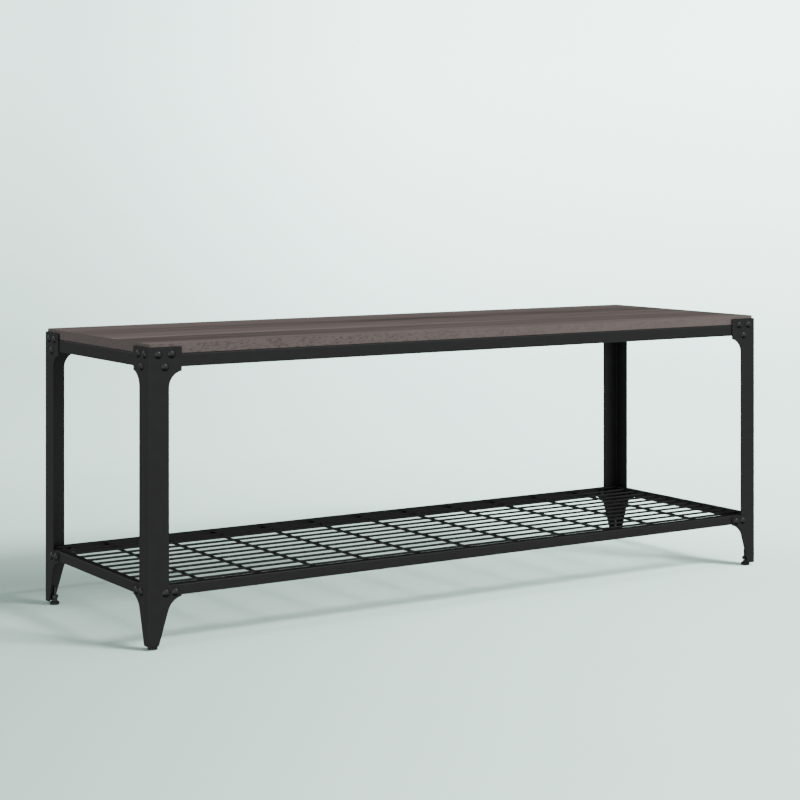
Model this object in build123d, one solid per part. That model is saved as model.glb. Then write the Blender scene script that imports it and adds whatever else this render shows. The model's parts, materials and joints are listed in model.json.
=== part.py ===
from build123d import *
import os

# Entryway bench: a wood-grain seat board on a bolted steel frame with a wire-mesh shelf.
# Millimetres. +X along the bench, the front faces -Y, +Z up, origin on the floor under the centre.

# Overall size, over the outer faces of the legs
LENGTH = 1219.2
DEPTH = 400.0
SEAT_HEIGHT = 458.7

# Sheet steel of the legs, rails and corner plates
SHEET = 1.6
BEND_INNER = 0.8
BEND_OUTER = BEND_INNER + SHEET

# Seat board
BOARD_THICK = 15.8
BOARD_INSET = 2 * SHEET
BOARD_CORNER_RADIUS = 1.5
BOARD_EDGE_RADIUS = 0.8
BOARD_UNDERSIDE = SEAT_HEIGHT - BOARD_THICK
POCKET_START = 8.0
POCKET_END = 46.0
POCKET_WIDTH = 13.0
POCKET_HEIGHT = 6.0

# Leg outline, the same on both flanges: distance from the outer corner, height above the floor
LEG_TOP = 453.5
HEAD_WIDTH = 54.7
HEAD_BOTTOM = 416.7
SHANK_WIDTH = 33.5
SHANK_TOP = 392.0
TAB_TOP = 93.0
TAB_BOTTOM = 77.4
TAPER_TOP = 58.0
TAPER_TOP_WIDTH = 32.4
LEG_BOTTOM = 6.0
LEG_BOTTOM_WIDTH = 16.7
LEG_CORNER_RADIUS = 1.2
FOOT_CORNER_RADIUS = 2.5
INNER_CORNER_RADIUS = 1.5

# Top frame: four angles butted against four corner plates
TOP_RAIL_HEIGHT = 20.0
TOP_RAIL_FLANGE = 20.0
PLATE_WIDTH = 48.0
PLATE_BOTTOM = 418.0
PLATE_TOP = 453.0

# Shelf frame: four mitred angles, flange on top
SHELF_TOP = 95.7
SHELF_RAIL_HEIGHT = 16.6
SHELF_RAIL_FLANGE = 12.0
MITRE_TIP = 1.0

# Shelf mesh: the long wires lie on the cross rods and just under the end flanges
LONG_WIRE_DIAMETER = 3.8
LONG_WIRES = 11
LONG_WIRE_PITCH = 32.3
LONG_WIRE_SETBACK = 9.0
CROSS_ROD_DIAMETER = 4.4
CROSS_RODS = 11
CROSS_ROD_PITCH = 100.0

# Dome-head bolts with square necks, and their nuts
BOLT_RADIUS = 3.0
DOME_RADIUS = 6.5
DOME_HEIGHT = 3.5
DOME_RIM = 0.4
NECK_SIZE = 6.2
NECK_HOLE = 6.6
NECK_LENGTH = 3.0
BOLT_LENGTH = 10.5
NUT_ACROSS_FLATS = 10.0
NUT_THICK = 5.0
THREAD_CLEARANCE = 0.05
HEAD_BOLT_SPOTS = [(15.7, 442.5), (37.7, 442.5), (26.7, 423.5)]
SHELF_BOLT_SPOTS = [(28.5, 84.5), (44.5, 84.5)]

# Screws that hold the board down
SCREW_RADIUS = 2.0
SCREW_HOLE_RADIUS = 2.4
SCREW_HEAD_RADIUS = 4.0
SCREW_HEAD_HEIGHT = 2.4
SCREW_BITE = 10.0
SCREW_SETBACK = 12.0
LONG_SIDE_SCREWS = 4
LONG_SIDE_SCREW_PITCH = 340.0
SHORT_SIDE_SCREWS = 2
SHORT_SIDE_SCREW_PITCH = 180.0

# Leveling glides and what holds them in the foot of each leg
GLIDE_SETBACK = 12.0
PAD_RADIUS = 7.75
PAD_THICK = 5.0
PAD_EDGE = 0.8
SOCKET_FLOOR = 1.5
STEM_RADIUS = 3.0
STEM_TOP = 30.0
STEM_TIP_CHAMFER = 0.6
COLLAR_ACROSS_FLATS = 8.0
FOOT_PLATE_BOTTOM = 8.0
FOOT_PLATE_THICK = 2.5
FOOT_PLATE_END = 17.0
FOOT_PLATE_CLIP = 6.0
FOOT_PLATE_RELIEF = 1.0
FOOT_HOLE_RADIUS = 3.4
GLIDE_GAP = 0.05

# Each corner part is made at the front left corner, and turned about +Z to the others
CORNERS = {
    "front_left": (0, -1, -1),
    "front_right": (90, 1, -1),
    "rear_right": (180, 1, 1),
    "rear_left": (270, -1, 1),
}

# A cut that goes through whatever it meets runs past it by this much
OVERCUT = 20.0


def at_corner(shape, corner):
    """Turn a part made around a corner at the origin, inwards along +X and +Y, to a corner of the bench."""
    turn, side_x, side_y = CORNERS[corner]
    return Pos(side_x * LENGTH / 2, side_y * DEPTH / 2, 0) * Rot(0, 0, turn) * shape


def on_both_flanges(shape):
    """A part on the front flange of a corner, and the same part on the side flange."""
    diagonal = Plane(origin=(0, 0, 0), z_dir=(1, -1, 0))
    return [shape, mirror(shape, about=diagonal)]


def save(name, solids):
    """Write one node: a single solid, or separate solids that share a node."""
    shape = solids[0] if len(solids) == 1 else Compound(children=solids)
    shape.label = name
    export_step(shape, f"parts/{name}.step")


def angle_section(width, height, corner_at_top):
    """L section of bent sheet in X and Y, its outer corner at the origin and a flange along +X."""
    rise = -height if corner_at_top else height
    wall = -SHEET if corner_at_top else SHEET
    outline = Polyline(
        (0, 0), (width, 0), (width, wall), (SHEET, wall), (SHEET, rise), (0, rise), close=True
    )
    section = make_face(outline)
    outer = section.vertices().sort_by_distance((0, 0, 0))[0]
    section = fillet(outer, BEND_OUTER).face()
    inner = section.vertices().sort_by_distance((SHEET, wall, 0))[0]
    return fillet(inner, BEND_INNER).face()


def bent_corner(width, bottom, top, inset):
    """Upright L of bent sheet, its outer faces inset from the corner's outer faces."""
    section = angle_section(width - inset, width - inset, False)
    return Pos(inset, inset, bottom) * extrude(section, top - bottom)


def leg_outline():
    """The flange outline in the XZ plane: head, shoulder, shank, shelf tab, curve and tapered foot."""
    taper = (TAPER_TOP_WIDTH - LEG_BOTTOM_WIDTH, TAPER_TOP - LEG_BOTTOM)
    foot = Line((LEG_BOTTOM_WIDTH, LEG_BOTTOM), (TAPER_TOP_WIDTH, TAPER_TOP))
    curve = TangentArc((TAPER_TOP_WIDTH, TAPER_TOP), (HEAD_WIDTH, TAB_BOTTOM), tangent=taper)
    tab = Polyline(
        (HEAD_WIDTH, TAB_BOTTOM), (HEAD_WIDTH, TAB_TOP), (SHANK_WIDTH, TAB_TOP), (SHANK_WIDTH, SHANK_TOP)
    )
    shoulder = TangentArc((SHANK_WIDTH, SHANK_TOP), (HEAD_WIDTH, HEAD_BOTTOM), tangent=(0, 1))
    head = Polyline(
        (HEAD_WIDTH, HEAD_BOTTOM), (HEAD_WIDTH, LEG_TOP), (0, LEG_TOP), (0, LEG_BOTTOM),
        (LEG_BOTTOM_WIDTH, LEG_BOTTOM)
    )
    face = make_face(foot + curve + tab + shoulder + head)
    rounded = [
        (HEAD_WIDTH, LEG_TOP, LEG_CORNER_RADIUS),
        (HEAD_WIDTH, TAB_TOP, LEG_CORNER_RADIUS),
        (SHANK_WIDTH, TAB_TOP, INNER_CORNER_RADIUS),
        (LEG_BOTTOM_WIDTH, LEG_BOTTOM, FOOT_CORNER_RADIUS),
    ]
    for width, height, radius in rounded:
        corner = face.vertices().sort_by_distance((width, height, 0))[0]
        face = fillet(corner, radius).face()
    return face


def neck_holes(spots):
    """Square cuts for bolt necks through both flanges of a corner."""
    cuts = []
    for distance, height in spots:
        cuts += on_both_flanges(Pos(distance, 0, height) * Box(NECK_HOLE, OVERCUT, NECK_HOLE))
    return cuts


def leg():
    """One sheet-steel leg, the same outline cut on both flanges."""
    bar = bent_corner(HEAD_WIDTH, LEG_BOTTOM, LEG_TOP, 0)
    outline = Plane.XZ * leg_outline()
    front_cut = extrude(outline, HEAD_WIDTH + OVERCUT, both=True)
    shape = bar
    for cutter in on_both_flanges(front_cut):
        shape = shape & cutter
    for hole in neck_holes(HEAD_BOLT_SPOTS + SHELF_BOLT_SPOTS):
        shape -= hole
    return shape.solid()


def corner_plate():
    """Plate between the leg's head and the board's edge. The top rails are welded to its ends."""
    shape = bent_corner(PLATE_WIDTH, PLATE_BOTTOM, PLATE_TOP, SHEET)
    for hole in neck_holes(HEAD_BOLT_SPOTS):
        shape -= hole
    return shape.solid()


def bolt():
    """Dome-head bolt along +Y, its head's flat on the plane y = 0."""
    cap = DOME_HEIGHT - DOME_RIM
    cap_radius = (DOME_RADIUS**2 + cap**2) / (2 * cap)
    crown = RadiusArc((DOME_RADIUS, -DOME_RIM), (0, -DOME_HEIGHT), cap_radius)
    stem = Polyline(
        (0, -DOME_HEIGHT), (0, BOLT_LENGTH), (BOLT_RADIUS, BOLT_LENGTH), (BOLT_RADIUS, 0), (DOME_RADIUS, 0),
        (DOME_RADIUS, -DOME_RIM)
    )
    turned = revolve(make_face(crown + stem), Axis.Y)
    neck = Pos(0, NECK_LENGTH / 2, 0) * Box(NECK_SIZE, NECK_LENGTH, NECK_SIZE)
    return (turned + neck).solid()


def nut(across_flats, thick, bore):
    """Hexagon nut along +Z, its lower face on the plane z = 0."""
    hexagon = RegularPolygon(across_flats / 2, 6, major_radius=False)
    return extrude(hexagon - Circle(bore), thick).solid()


def bolt_nut():
    """Nut along +Y behind both thicknesses of sheet, two of its flats level."""
    turned = Rot(-90, 0, 0) * Rot(0, 0, 30) * nut(NUT_ACROSS_FLATS, NUT_THICK, BOLT_RADIUS + THREAD_CLEARANCE)
    return Pos(0, 2 * SHEET, 0) * turned


def on_spots(shape, spots):
    """Copies of a bolt or nut on both flanges of a corner."""
    copies = []
    for distance, height in spots:
        copies += on_both_flanges(Pos(distance, 0, height) * shape)
    return copies


def screw_spots():
    """Centres of the board screws, on all four sides."""
    along_y = DEPTH / 2 - SHEET - SCREW_SETBACK
    along_x = LENGTH / 2 - SHEET - SCREW_SETBACK
    spots = []
    for side in (-1, 1):
        long_row = GridLocations(LONG_SIDE_SCREW_PITCH, 0, LONG_SIDE_SCREWS, 1)
        short_row = GridLocations(0, SHORT_SIDE_SCREW_PITCH, 1, SHORT_SIDE_SCREWS)
        spots += [(spot.position.X, side * along_y) for spot in long_row]
        spots += [(side * along_x, spot.position.Y) for spot in short_row]
    return spots


def screw_cuts(radius, top):
    """Holes for the board screws, from under the rails up to a height."""
    bottom = BOARD_UNDERSIDE - OVERCUT
    cut = Pos(0, 0, (bottom + top) / 2) * Cylinder(radius, top - bottom)
    return [Pos(x, y, 0) * cut for x, y in screw_spots()]


def panel_screws():
    """Pan-head screws up through the rail flanges into the board."""
    rail_underside = BOARD_UNDERSIDE - SHEET
    shank_length = SHEET + SCREW_BITE
    head = Pos(0, 0, -SCREW_HEAD_HEIGHT / 2) * Cylinder(SCREW_HEAD_RADIUS, SCREW_HEAD_HEIGHT)
    head = chamfer(head.edges().group_by(Axis.Z)[0], SCREW_HEAD_HEIGHT / 3)
    shank = Pos(0, 0, shank_length / 2) * Cylinder(SCREW_RADIUS, shank_length)
    screw = (head + shank).solid()
    return [Pos(x, y, rail_underside) * screw for x, y in screw_spots()]


def seat_panel():
    """Seat board with eased edges, and pockets underneath that clear the upper nuts of the leg heads."""
    length = LENGTH - 2 * BOARD_INSET
    depth = DEPTH - 2 * BOARD_INSET
    board = extrude(RectangleRounded(length, depth, BOARD_CORNER_RADIUS), BOARD_THICK)
    rims = board.edges().group_by(Axis.Z)
    board = fillet(rims[0] + rims[-1], BOARD_EDGE_RADIUS)
    board = Pos(0, 0, BOARD_UNDERSIDE) * board
    pocket = Pos(POCKET_START, 0, BOARD_UNDERSIDE - OVERCUT) * Box(
        POCKET_END - POCKET_START, POCKET_WIDTH, POCKET_HEIGHT + OVERCUT, align=(Align.MIN, Align.MIN, Align.MIN)
    )
    for corner in CORNERS:
        for cut in on_both_flanges(pocket):
            board -= at_corner(cut, corner)
    for cut in screw_cuts(SCREW_RADIUS + THREAD_CLEARANCE, BOARD_UNDERSIDE + SCREW_BITE):
        board -= cut
    return board.solid()


def straight_rail(section, length):
    """Angle rail along +X, centred, its outer face on y = 0 and its inside towards +Y."""
    upright = Plane(origin=(-length / 2, 0, 0), x_dir=(0, 1, 0), z_dir=(1, 0, 0))
    return extrude(upright * section, length)


def mitred_rail(section, length):
    """The same rail cut at 45 degrees at both ends, its sharp outer tips trimmed to seat in the legs' bends."""
    rail = straight_rail(section, length)
    for end in (-1, 1):
        mitre = Plane(origin=(end * length / 2, 0, 0), z_dir=(end, 1, 0))
        tip = Plane(origin=(end * (length / 2 - MITRE_TIP), 0, 0), z_dir=(end, -1, 0))
        for cut in (mitre, tip):
            rail = split(rail, bisect_by=cut, keep=Keep.BOTTOM)
    return rail


def on_sides(make_rail, section, length, depth, top):
    """The four rails of a frame of this length and depth, their outer faces against the legs."""
    sides = {
        "front": (0, 0, -1, length),
        "rear": (180, 0, 1, length),
        "right": (90, 1, 0, depth),
        "left": (270, -1, 0, depth),
    }
    rails = {}
    for side, (turn, step_x, step_y, size) in sides.items():
        place = Pos(step_x * (LENGTH / 2 - SHEET), step_y * (DEPTH / 2 - SHEET), top) * Rot(0, 0, turn)
        rails[side] = place * make_rail(section, size)
    return rails


def top_rails():
    """Angles under the board's edges, cut square against the corner plates."""
    section = angle_section(TOP_RAIL_FLANGE, TOP_RAIL_HEIGHT, True)
    clear = 2 * PLATE_WIDTH
    rails = on_sides(straight_rail, section, LENGTH - clear, DEPTH - clear, BOARD_UNDERSIDE)
    for side in rails:
        for cut in screw_cuts(SCREW_HOLE_RADIUS, BOARD_UNDERSIDE + OVERCUT):
            rails[side] -= cut
        rails[side] = rails[side].solid()
    return rails


def shelf_rails():
    """Mitred angles, flange on top."""
    section = angle_section(SHELF_RAIL_FLANGE, SHELF_RAIL_HEIGHT, True)
    rails = on_sides(mitred_rail, section, LENGTH - 2 * SHEET, DEPTH - 2 * SHEET, SHELF_TOP)
    holes = [at_corner(hole, corner) for corner in CORNERS for hole in neck_holes(SHELF_BOLT_SPOTS)]
    for side in rails:
        for hole in holes:
            rails[side] -= hole
        rails[side] = rails[side].solid()
    return rails


def long_wires():
    """Wires along the shelf, welded under the flanges of the end rails and clear of the bolts' nuts."""
    length = LENGTH - 2 * LONG_WIRE_SETBACK
    height = SHELF_TOP - SHEET - LONG_WIRE_DIAMETER / 2
    wire = Rot(0, 90, 0) * Cylinder(LONG_WIRE_DIAMETER / 2, length)
    row = GridLocations(0, LONG_WIRE_PITCH, 1, LONG_WIRES)
    return [Pos(0, spot.position.Y, height) * wire for spot in row]


def cross_rods():
    """Rods across the shelf, between the front and rear rails, under the long wires."""
    length = DEPTH - 4 * SHEET
    height = SHELF_TOP - SHEET - LONG_WIRE_DIAMETER - CROSS_ROD_DIAMETER / 2
    rod = Rot(90, 0, 0) * Cylinder(CROSS_ROD_DIAMETER / 2, length)
    row = GridLocations(CROSS_ROD_PITCH, 0, CROSS_RODS, 1)
    return [Pos(spot.position.X, 0, height) * rod for spot in row]


def foot_plate():
    """Small plate inside the foot of a leg, with the glide's hole."""
    span = FOOT_PLATE_END - SHEET
    plate = Box(span, span, FOOT_PLATE_THICK, align=(Align.MIN, Align.MIN, Align.MIN))
    uprights = plate.edges().filter_by(Axis.Z)
    plate = chamfer(uprights.sort_by_distance((0, 0, 0))[0], FOOT_PLATE_RELIEF)
    far_edge = plate.edges().filter_by(Axis.Z).sort_by_distance((0, 0, 0))[-1]
    plate = chamfer(far_edge, FOOT_PLATE_CLIP)
    plate = Pos(SHEET, SHEET, FOOT_PLATE_BOTTOM) * plate
    plate -= Pos(GLIDE_SETBACK, GLIDE_SETBACK, FOOT_PLATE_BOTTOM) * Cylinder(FOOT_HOLE_RADIUS, OVERCUT)
    return plate.solid()


def foot_nut():
    """Nut welded on the foot plate."""
    hexagon = nut(NUT_ACROSS_FLATS, NUT_THICK, STEM_RADIUS + THREAD_CLEARANCE)
    return Pos(GLIDE_SETBACK, GLIDE_SETBACK, FOOT_PLATE_BOTTOM + FOOT_PLATE_THICK) * hexagon


def glide_pad():
    """Round plastic pad with a socket for the stem."""
    pad = Pos(0, 0, PAD_THICK / 2) * Cylinder(PAD_RADIUS, PAD_THICK)
    pad = chamfer(pad.edges(), PAD_EDGE)
    socket_depth = PAD_THICK - SOCKET_FLOOR
    pad -= Pos(0, 0, SOCKET_FLOOR + socket_depth / 2) * Cylinder(STEM_RADIUS + THREAD_CLEARANCE, socket_depth)
    return Pos(GLIDE_SETBACK, GLIDE_SETBACK, 0) * pad.solid()


def glide_stem():
    """Threaded stem with a hexagon collar that stops it against the foot plate."""
    bottom = SOCKET_FLOOR + GLIDE_GAP
    rod = Pos(0, 0, (bottom + STEM_TOP) / 2) * Cylinder(STEM_RADIUS, STEM_TOP - bottom)
    rod = chamfer(rod.edges().group_by(Axis.Z)[-1], STEM_TIP_CHAMFER)
    collar_height = FOOT_PLATE_BOTTOM - PAD_THICK - 2 * GLIDE_GAP
    collar = extrude(RegularPolygon(COLLAR_ACROSS_FLATS / 2, 6, major_radius=False), collar_height)
    stem = rod + Pos(0, 0, PAD_THICK + GLIDE_GAP) * collar
    return Pos(GLIDE_SETBACK, GLIDE_SETBACK, 0) * stem.solid()


def main():
    os.makedirs("parts", exist_ok=True)
    save("seat_panel", [seat_panel()])
    save("panel_screws", panel_screws())
    for side, rail in top_rails().items():
        save(f"top_rail_{side}", [rail])
    for side, rail in shelf_rails().items():
        save(f"shelf_rail_{side}", [rail])
    save("shelf_long_wires", long_wires())
    save("shelf_cross_rods", cross_rods())
    corner_parts = {
        "leg": [leg()],
        "corner_plate": [corner_plate()],
        "head_bolts": on_spots(bolt(), HEAD_BOLT_SPOTS),
        "head_nuts": on_spots(bolt_nut(), HEAD_BOLT_SPOTS),
        "shelf_bolts": on_spots(bolt(), SHELF_BOLT_SPOTS),
        "shelf_nuts": on_spots(bolt_nut(), SHELF_BOLT_SPOTS),
        "foot_plate": [foot_plate()],
        "foot_nut": [foot_nut()],
        "glide_pad": [glide_pad()],
        "glide_stem": [glide_stem()],
    }
    for corner in CORNERS:
        for name, solids in corner_parts.items():
            save(f"{name}_{corner}", [at_corner(solid, corner) for solid in solids])


main()
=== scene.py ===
import json
import math

import bmesh
import bpy
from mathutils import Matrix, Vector


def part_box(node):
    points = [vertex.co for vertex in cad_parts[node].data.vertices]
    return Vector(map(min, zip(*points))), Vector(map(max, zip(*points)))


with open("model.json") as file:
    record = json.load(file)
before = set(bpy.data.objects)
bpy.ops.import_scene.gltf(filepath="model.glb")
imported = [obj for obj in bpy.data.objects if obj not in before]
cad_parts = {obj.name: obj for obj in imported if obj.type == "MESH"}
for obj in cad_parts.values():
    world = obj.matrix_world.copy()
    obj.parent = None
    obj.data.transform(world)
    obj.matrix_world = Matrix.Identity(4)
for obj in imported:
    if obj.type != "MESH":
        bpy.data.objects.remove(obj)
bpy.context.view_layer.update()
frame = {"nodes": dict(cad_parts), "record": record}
board_low, board_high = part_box("seat_panel")


def linear(red, green, blue):
    """Linear colour from sRGB values out of 255."""
    def one(value):
        value /= 255.0
        return value / 12.92 if value <= 0.04045 else ((value + 0.055) / 1.055) ** 2.4
    return (one(red), one(green), one(blue), 1.0)


# Driving values, in metres unless the name says otherwise.
# The camera
CAMERA_PLACE = (-1.8529, -2.8296, 0.6909)
CAMERA_YAW_DEG = -33.083
CAMERA_LENS_MM = 86.94
CAMERA_SHIFT = (-0.015825, -0.264075)
SENSOR_MM = 36.0

# The key light stands in one direction from the bench. The floor gets more light than the bench does
AIM = (0.0, 0.0, 0.2)
KEY_FROM = (0.381, -0.649, 0.659)
KEY_DISTANCE = 7.5
KEY_SIZE = 1.9
KEY_WATTS = 90.0
FLOOR_KEY_WATTS = 1640.0
TOP_PLACE = (1.3, -1.9, 10.0)
TOP_SIZE = 6.0
TOP_WATTS = 720.0

# The surround: its brightness by height, from 0 straight down to 1 straight up, then by direction.
# Each dim or bright patch has the cosines of its outer and inner limits, and a factor or an amount
SURROUND_TINT = (0.97, 1.0, 0.99, 1.0)
SURROUND_BY_HEIGHT = [(0.15, 0.14), (0.38, 0.56), (0.5, 0.64), (0.7, 0.70), (1.0, 0.70)]
BRIGHT_SIDE = (-0.22, -0.62, 0.0)
DIM_PATCH = ((0.53, 0.82, 0.2), 0.55, 0.93, 0.12)
BRIGHT_PATCHES = [((-0.54, 0.70, 0.45), 0.93, 0.985, 0.9), ((-0.88, -0.47, -0.10), 0.80, 0.97, 0.35)]

# The backdrop: a flat floor, a bend and an upright wall, then its own glow by distance, height and side
FLOOR_RADIUS = 4.6
WALL_BEND = 2.0
WALL_TOP = 7.0
BEND_STEPS = 20
ROUND_STEPS = 96
FLOOR_TINT = (0.305, 0.415, 0.37, 1.0)
FLOOR_TINT_LIGHT = (0.315, 0.425, 0.38, 1.0)
# painted light: the floor's colour is multiplied from darker on the left to lighter on the right
FLOOR_PAINTED_LIGHT_LEFT_TO_RIGHT = (-0.9, 0.6, 0.8, 1.36)
GLOW_PER_DISTANCE = 0.09
GLOW_PER_HEIGHT = 0.33
GLOW_WIDTH = 5.0
GLOW_STRENGTH = 4.6
WALL_TINT = (0.74, 1.0, 0.94, 1.0)
WALL_GLOW = [(0.0, 0.0), (0.05, 0.16), (0.15, 0.34), (0.35, 0.46), (0.63, 0.62), (1.0, 1.0)]
SIDE_GLOW = [(0.1, 0.45), (0.5, 0.9), (0.9, 1.0)]

# The print on the seat board. Its bands go from the front edge, 0, to the rear edge, 1
WOOD_WAVE = 0.045
WOOD_RIPPLE = 0.012
WOOD_LEAN = -0.018
WOOD_BAND_SHIFT = 0.43
OLIVE = linear(88, 81, 75)
WOOD_BANDS = [
    (0.00, linear(138, 125, 121)), (0.07, linear(137, 124, 121)), (0.13, linear(121, 110, 107)),
    (0.32, linear(125, 112, 109)), (0.35, linear(140, 127, 124)), (0.39, linear(131, 118, 116)),
    (0.55, linear(129, 116, 114)), (0.68, linear(121, 109, 107)), (0.80, linear(126, 113, 112)),
    (0.90, linear(137, 123, 121)), (1.00, linear(134, 120, 119)),
]
FRONT_DARK = [(0.08, 0.0), (0.15, 0.7), (0.31, 0.75), (0.34, 0.0)]
BRIGHT_LINE = [(0.335, 0.0), (0.35, 0.7), (0.37, 0.7), (0.40, 0.0)]
REAR_DARK = [(0.56, 0.0), (0.63, 0.75), (0.69, 1.0), (0.78, 0.0)]


# ---------------------------------------------------------------- node trees

class Nodes:
    """The node tree of a material or a world, and short ways to add to it."""

    def __init__(self, owner):
        owner.use_nodes = True
        self.nodes = owner.node_tree.nodes
        self.links = owner.node_tree.links
        coordinates = self.nodes.new("ShaderNodeTexCoord").outputs
        self.place = coordinates["Object"]
        self.facing = coordinates["Normal"]
        self.direction = coordinates["Generated"]

    def link(self, output, socket):
        self.links.new(output, socket)

    def add(self, kind, **values):
        """A node of a kind. Values are its settings, or its sockets by name; an output is linked in."""
        node = self.nodes.new(kind)
        for key, value in values.items():
            name = key.replace("_", " ")
            if hasattr(node, key):
                setattr(node, key, value)
            elif isinstance(value, bpy.types.NodeSocket):
                self.links.new(value, node.inputs[name])
            else:
                node.inputs[name].default_value = value
        return node

    def axes(self):
        """Object X, Y and Z."""
        node = self.nodes.new("ShaderNodeSeparateXYZ")
        self.links.new(self.place, node.inputs["Vector"])
        return node.outputs

    def stretched(self, scale):
        """Object coordinates times a scale in each direction."""
        node = self.nodes.new("ShaderNodeMapping")
        node.inputs["Scale"].default_value = scale
        self.links.new(self.place, node.inputs["Vector"])
        return node.outputs["Vector"]

    def noise(self, scale, detail=3.0, roughness=0.5, distortion=0.0, vector=None):
        """Noise of so many features per metre, from 0 to 1."""
        node = self.nodes.new("ShaderNodeTexNoise")
        node.inputs["Scale"].default_value = scale
        node.inputs["Detail"].default_value = detail
        node.inputs["Roughness"].default_value = roughness
        node.inputs["Distortion"].default_value = distortion
        self.links.new(vector or self.place, node.inputs["Vector"])
        return node.outputs["Fac"]

    def ramp(self, value, stops, ease="LINEAR"):
        """Colours or greys by a value. Stops are (place, colour or grey)."""
        node = self.nodes.new("ShaderNodeValToRGB")
        node.color_ramp.interpolation = ease
        elements = node.color_ramp.elements
        while len(elements) < len(stops):
            elements.new(0.5)
        for element, (place, colour) in zip(elements, stops):
            element.position = place
            element.color = colour if isinstance(colour, tuple) else (colour, colour, colour, 1.0)
        self.links.new(value, node.inputs["Fac"])
        return node.outputs["Color"]

    def mix(self, factor, first, second, blend="MIX"):
        """A colour mix. The factor and colours are values or outputs."""
        node = self.nodes.new("ShaderNodeMix")
        node.data_type = "RGBA"
        node.blend_type = blend
        sockets = (node.inputs["Factor"], node.inputs[6], node.inputs[7])
        for socket, value in zip(sockets, (factor, first, second)):
            if isinstance(value, bpy.types.NodeSocket):
                self.links.new(value, socket)
            else:
                socket.default_value = value
        return node.outputs[2]

    def rate(self, value, first, last, before, after):
        """A smooth change from one number to another while a value goes from first to last."""
        node = self.add("ShaderNodeMapRange", interpolation_type="SMOOTHSTEP", Value=value)
        for name, number in zip(("From Min", "From Max", "To Min", "To Max"), (first, last, before, after)):
            node.inputs[name].default_value = number
        return node.outputs["Result"]

    def maths(self, operation, *values):
        node = self.nodes.new("ShaderNodeMath")
        node.operation = operation
        for socket, value in zip(node.inputs, values):
            if isinstance(value, bpy.types.NodeSocket):
                self.links.new(value, socket)
            else:
                socket.default_value = value
        return node.outputs["Value"]

    def bump(self, height, distance, strength=1.0, after=None):
        node = self.nodes.new("ShaderNodeBump")
        node.inputs["Distance"].default_value = distance
        node.inputs["Strength"].default_value = strength
        self.links.new(height, node.inputs["Height"])
        if after is not None:
            self.links.new(after, node.inputs["Normal"])
        return node.outputs["Normal"]


class Shader(Nodes):
    """A node material."""

    def __init__(self, name):
        self.material = bpy.data.materials.new(name)
        super().__init__(self.material)
        self.surface = self.nodes["Principled BSDF"]


# ---------------------------------------------------------------- materials

def powder_coat():
    """Satin black powder coat with a fine orange-peel texture."""
    s = Shader("black_powder_coat")
    tone = s.noise(60.0, 4.0)
    colour = s.ramp(tone, [(0.35, linear(23, 23, 23)), (0.65, linear(27, 27, 27))])
    s.surface.inputs["Specular IOR Level"].default_value = 0.405
    s.link(colour, s.surface.inputs["Base Color"])
    grain = s.noise(1500.0, 2.0)
    rough = s.ramp(grain, [(0.3, 0.44), (0.7, 0.56)])
    s.link(rough, s.surface.inputs["Roughness"])
    peel = s.bump(s.noise(420.0, 1.0), 0.00006, 0.6)
    s.link(s.bump(grain, 0.00003, 0.5, peel), s.surface.inputs["Normal"])
    return s.material


def glossy_black():
    """Smooth semi-gloss black of the bolt heads."""
    s = Shader("bolt_black")
    tone = s.noise(900.0, 2.0)
    colour = s.ramp(tone, [(0.3, linear(16, 16, 16)), (0.7, linear(21, 21, 21))])
    s.link(colour, s.surface.inputs["Base Color"])
    s.surface.inputs["Specular IOR Level"].default_value = 0.56
    s.link(s.ramp(tone, [(0.3, 0.15), (0.7, 0.22)]), s.surface.inputs["Roughness"])
    s.link(s.bump(s.noise(1300.0, 2.0), 0.00002, 0.3), s.surface.inputs["Normal"])
    return s.material


def zinc_plate():
    """Zinc-plated steel, faintly mottled."""
    s = Shader("zinc_plated_steel")
    tone = s.noise(700.0, 3.0)
    colour = s.ramp(tone, [(0.3, linear(150, 151, 150)), (0.7, linear(182, 184, 186))])
    s.link(colour, s.surface.inputs["Base Color"])
    s.link(s.ramp(tone, [(0.3, 0.28), (0.7, 0.42)]), s.surface.inputs["Roughness"])
    s.surface.inputs["Metallic"].default_value = 1.0
    s.link(s.bump(s.noise(2400.0, 2.0), 0.00001, 0.5), s.surface.inputs["Normal"])
    return s.material


def moulded_plastic():
    """Matt black moulded plastic of the glide pads."""
    s = Shader("black_plastic")
    tone = s.noise(300.0, 3.0)
    colour = s.ramp(tone, [(0.3, linear(26, 26, 27)), (0.7, linear(33, 33, 34))])
    s.link(colour, s.surface.inputs["Base Color"])
    s.link(s.ramp(tone, [(0.3, 0.55), (0.7, 0.68)]), s.surface.inputs["Roughness"])
    s.link(s.bump(s.noise(2600.0, 2.0), 0.00003, 0.5), s.surface.inputs["Normal"])
    return s.material


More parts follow.
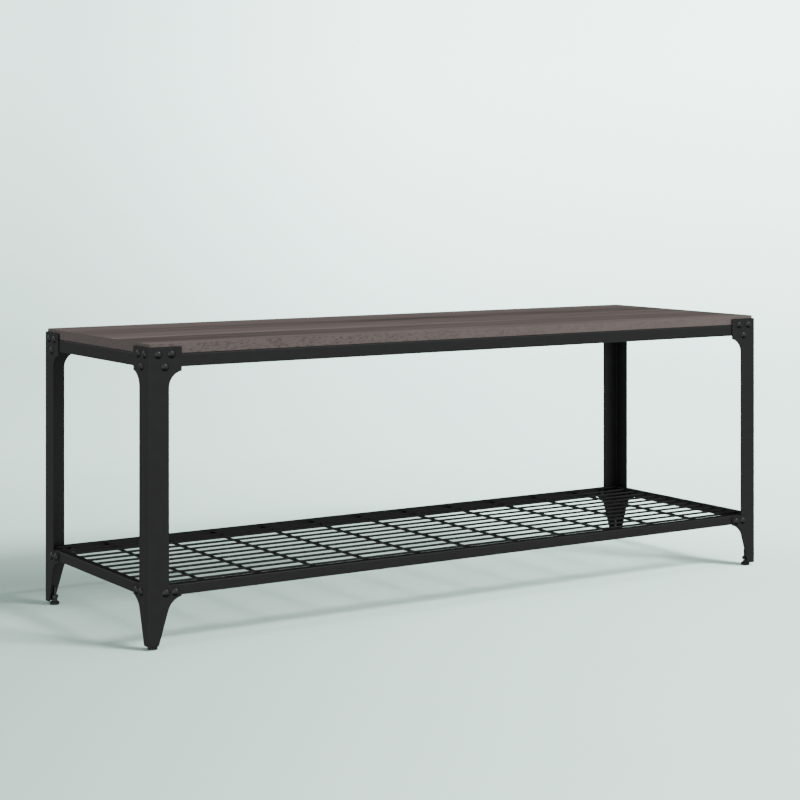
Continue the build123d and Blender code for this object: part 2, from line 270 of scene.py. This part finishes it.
def board_face(s, fibre):
    """Bands of tone across the board, each waving along it, with streaks and pores."""
    along, across, _ = s.axes()
    wave = s.noise(1.0, 3.0, 0.5, 0.4, s.stretched((2.2, 1.5, 1.0)))
    ripple = s.noise(1.0, 3.0, 0.5, 0.3, s.stretched((11.0, 8.0, 1.0)))
    place = s.maths("MULTIPLY_ADD", wave, WOOD_WAVE, across)
    place = s.maths("MULTIPLY_ADD", ripple, WOOD_RIPPLE, place)
    place = s.maths("MULTIPLY_ADD", along, WOOD_LEAN, place)
    band = s.maths("MULTIPLY_ADD", place, 1.0 / (board_high.y - board_low.y), WOOD_BAND_SHIFT)
    face = s.ramp(band, WOOD_BANDS)
    # a dark olive band near the front, strongest at the left end, with a bright line behind it
    front_dark = s.maths("MULTIPLY", s.ramp(band, FRONT_DARK), s.rate(along, -0.62, 0.05, 1.0, 0.12))
    face = s.mix(front_dark, face, OLIVE)
    bright_line = s.maths("MULTIPLY", s.ramp(band, BRIGHT_LINE), s.rate(along, 0.0, 0.25, 1.0, 0.0))
    face = s.mix(bright_line, face, linear(158, 145, 142))
    # dark waving streaks in the rear half, broken up along the board
    streak = s.noise(1.0, 4.0, 0.6, 1.4, s.stretched((3.6, 30.0, 1.0)))
    rear_dark = s.maths("MULTIPLY", s.ramp(band, REAR_DARK), s.ramp(streak, [(0.40, 0.1), (0.54, 1.0)]))
    rear_dark = s.maths("MULTIPLY", rear_dark, s.rate(along, -0.25, 0.05, 0.6, 1.1))
    face = s.mix(rear_dark, face, OLIVE)
    # finer streaks all over, light and dark, then the pores
    fine = s.noise(1.0, 4.0, 0.6, 0.7, s.stretched((2.6, 75.0, 1.0)))
    face = s.mix(s.ramp(fine, [(0.52, 0.0), (0.66, 0.55)]), face, linear(97, 90, 84))
    face = s.mix(s.ramp(fine, [(0.34, 0.5), (0.46, 0.0)]), face, linear(147, 134, 128))
    return s.mix(s.ramp(fibre, [(0.35, 0.3), (0.6, 0.0)]), face, linear(84, 76, 72))


def board_edge(s, painted_end_shade_facing):
    """The band round the board: flecked at the left, calmer and lighter to the right, and darker on the ends
    by painted shade.
    """
    along = s.axes()["X"]
    fleck = s.noise(1.0, 3.0, 0.7, 0.3, s.stretched((150.0, 150.0, 420.0)))
    blotch = s.noise(1.0, 3.0, 0.5, 0.4, s.stretched((22.0, 22.0, 60.0)))
    edge = s.mix(s.rate(along, -0.55, 0.5, 0.0, 1.0), linear(122, 111, 109), linear(132, 121, 117))
    edge = s.mix(s.ramp(blotch, [(0.35, 0.35), (0.6, 0.0)]), edge, linear(112, 103, 98))
    fade = s.rate(along, -0.3, 0.2, 0.62, 0.22)
    flecks = s.maths("MULTIPLY", s.ramp(fleck, [(0.38, 1.0), (0.52, 0.0)]), fade)
    edge = s.mix(flecks, edge, linear(80, 73, 70))
    # painted shade: the end faces, facing along X, are darkened towards a grey-brown
    return s.mix(s.rate(painted_end_shade_facing, 0.5, 0.9, 0.0, 0.5), edge, linear(88, 82, 79))


def wood_laminate():
    """Grey-brown oak print, its grain along +X, with its own band on the edges."""
    s = Shader("wood_laminate")
    fibre = s.noise(1.0, 4.0, 0.6, 0.2, s.stretched((9.0, 330.0, 330.0)))
    facing = s.add("ShaderNodeSeparateXYZ", Vector=s.facing).outputs
    is_face = s.ramp(s.maths("ABSOLUTE", facing["Z"]), [(0.45, 0.0), (0.6, 1.0)])
    edge = board_edge(s, s.maths("ABSOLUTE", facing["X"]))
    s.link(s.mix(is_face, edge, board_face(s, fibre)), s.surface.inputs["Base Color"])
    s.surface.inputs["Specular IOR Level"].default_value = 0.1
    s.link(s.ramp(fibre, [(0.3, 0.72), (0.7, 0.62)]), s.surface.inputs["Roughness"])
    s.link(s.bump(fibre, 0.00008, 0.5), s.surface.inputs["Normal"])
    return s.material


def paint_cad_nodes():
    """Every shown CAD node gets the material of its slot."""
    finishes = {
        "seat_board": wood_laminate(),
        "frame_metal": powder_coat(),
        "bolt_black": glossy_black(),
        "plated_hardware": zinc_plate(),
        "glide_plastic": moulded_plastic(),
    }
    finishes["shelf_wire"] = finishes["frame_metal"]
    for part in frame["record"]["subparts"]:
        node = frame["nodes"][part["node"]]
        node.data.materials.clear()
        node.data.materials.append(finishes[part["material_slot"]])


# ---------------------------------------------------------------- stage, light and camera

def studio():
    """Pale bowl: a flat floor that curves up into a wall all round, brighter high up and to the right, by
    its glow and by painted light in the floor's colour.
    """
    s = Shader("pale_backdrop")
    across, ahead, up = s.axes()
    tone = s.noise(1.5, 2.0)
    tint = s.ramp(tone, [(0.3, FLOOR_TINT), (0.7, FLOOR_TINT_LIGHT)])
    # painted light: the floor's colour gets darker to the left and lighter to the right
    tint = s.mix(1.0, tint, s.rate(across, *FLOOR_PAINTED_LIGHT_LEFT_TO_RIGHT), "MULTIPLY")
    s.link(tint, s.surface.inputs["Base Color"])
    s.surface.inputs["Roughness"].default_value = 0.9
    s.surface.inputs["Specular IOR Level"].default_value = 0.1
    climb = s.maths("MULTIPLY_ADD", up, GLOW_PER_HEIGHT, s.maths("MULTIPLY", ahead, GLOW_PER_DISTANCE))
    glow = s.ramp(climb, WALL_GLOW, "B_SPLINE")
    sideways = s.ramp(s.maths("MULTIPLY_ADD", across, 1.0 / GLOW_WIDTH, 0.5), SIDE_GLOW, "EASE")
    glow = s.mix(1.0, glow, sideways, "MULTIPLY")
    s.link(s.mix(1.0, glow, WALL_TINT, "MULTIPLY"), s.surface.inputs["Emission Color"])
    s.surface.inputs["Emission Strength"].default_value = GLOW_STRENGTH
    profile = [(0.0, 0.0), (FLOOR_RADIUS, 0.0)]
    for step in range(1, BEND_STEPS + 1):
        turn = step / BEND_STEPS * math.pi / 2
        profile.append((FLOOR_RADIUS + WALL_BEND * math.sin(turn), WALL_BEND - WALL_BEND * math.cos(turn)))
    profile.append((FLOOR_RADIUS + WALL_BEND, WALL_TOP))
    build = bmesh.new()
    points = [build.verts.new((0.0, radius, height)) for radius, height in profile]
    edges = [build.edges.new(pair) for pair in zip(points, points[1:])]
    bmesh.ops.spin(
        build, geom=points + edges, cent=(0, 0, 0), axis=(0, 0, 1),
        angle=math.tau, steps=ROUND_STEPS, use_merge=True,
    )
    bmesh.ops.remove_doubles(build, verts=build.verts, dist=0.0001)
    bmesh.ops.recalc_face_normals(build, faces=build.faces)
    mesh = bpy.data.meshes.new("backdrop")
    build.to_mesh(mesh)
    build.free()
    for face in mesh.polygons:
        face.use_smooth = True
    mesh.materials.append(s.material)
    backdrop = bpy.data.objects.new("backdrop", mesh)
    backdrop.rotation_euler = (0.0, 0.0, math.radians(CAMERA_YAW_DEG))
    backdrop.visible_glossy = False
    backdrop.visible_diffuse = False
    bpy.context.collection.objects.link(backdrop)
    return backdrop


def softbox(name, place, size, watts):
    """A square area light that faces the bench."""
    data = bpy.data.lights.new(name, "AREA")
    data.size = size
    data.energy = watts
    light = bpy.data.objects.new(name, data)
    light.visible_camera = False
    light.location = place
    light.rotation_euler = (Vector(AIM) - Vector(place)).to_track_quat("-Z", "Y").to_euler()
    bpy.context.collection.objects.link(light)
    return light


def lights(backdrop):
    """A key light from the front right, two more lights on the backdrop alone, and a soft surround."""
    place = Vector(KEY_FROM) * KEY_DISTANCE
    softbox("key", place, KEY_SIZE, KEY_WATTS)
    floor_lights = [
        softbox("floor_key", place, KEY_SIZE, FLOOR_KEY_WATTS),
        softbox("floor_top", TOP_PLACE, TOP_SIZE, TOP_WATTS),
    ]
    lit = bpy.data.collections.new("lit_by_floor_lights")
    lit.objects.link(backdrop)
    for light in floor_lights:
        light.light_linking.receiver_collection = lit
    surround()


def surround():
    """Soft light from all round: less from below, more from the front, one dim patch, two brighter ones."""
    world = bpy.data.worlds.new("surround")
    tree = Nodes(world)

    def toward(side):
        node = tree.add("ShaderNodeVectorMath", operation="DOT_PRODUCT")
        tree.link(tree.direction, node.inputs[0])
        node.inputs[1].default_value = side
        return node.outputs["Value"]

    def patch(side, edge, core, outside, inside):
        return tree.rate(toward(Vector(side).normalized()), edge, core, outside, inside)

    height = tree.maths("ADD", toward((0.0, 0.0, 0.5)), 0.5)
    total = tree.ramp(height, SURROUND_BY_HEIGHT)
    total = tree.maths("MULTIPLY", total, tree.maths("ADD", toward(BRIGHT_SIDE), 1.0))
    side, edge, core, factor = DIM_PATCH
    total = tree.maths("MULTIPLY", total, patch(side, edge, core, 1.0, factor))
    for side, edge, core, amount in BRIGHT_PATCHES:
        total = tree.maths("ADD", total, patch(side, edge, core, 0.0, amount))
    background = tree.nodes["Background"]
    background.inputs["Color"].default_value = SURROUND_TINT
    tree.link(total, background.inputs["Strength"])
    bpy.context.scene.world = world


def camera():
    """The camera, level and low, at the front left of the bench."""
    data = bpy.data.cameras.new("camera")
    data.sensor_width = SENSOR_MM
    data.lens = CAMERA_LENS_MM
    data.shift_x, data.shift_y = CAMERA_SHIFT
    eye = bpy.data.objects.new("camera", data)
    eye.location = CAMERA_PLACE
    eye.rotation_euler = (math.radians(90.0), 0.0, math.radians(CAMERA_YAW_DEG))
    bpy.context.collection.objects.link(eye)
    bpy.context.scene.camera = eye


paint_cad_nodes()
lights(studio())
camera()
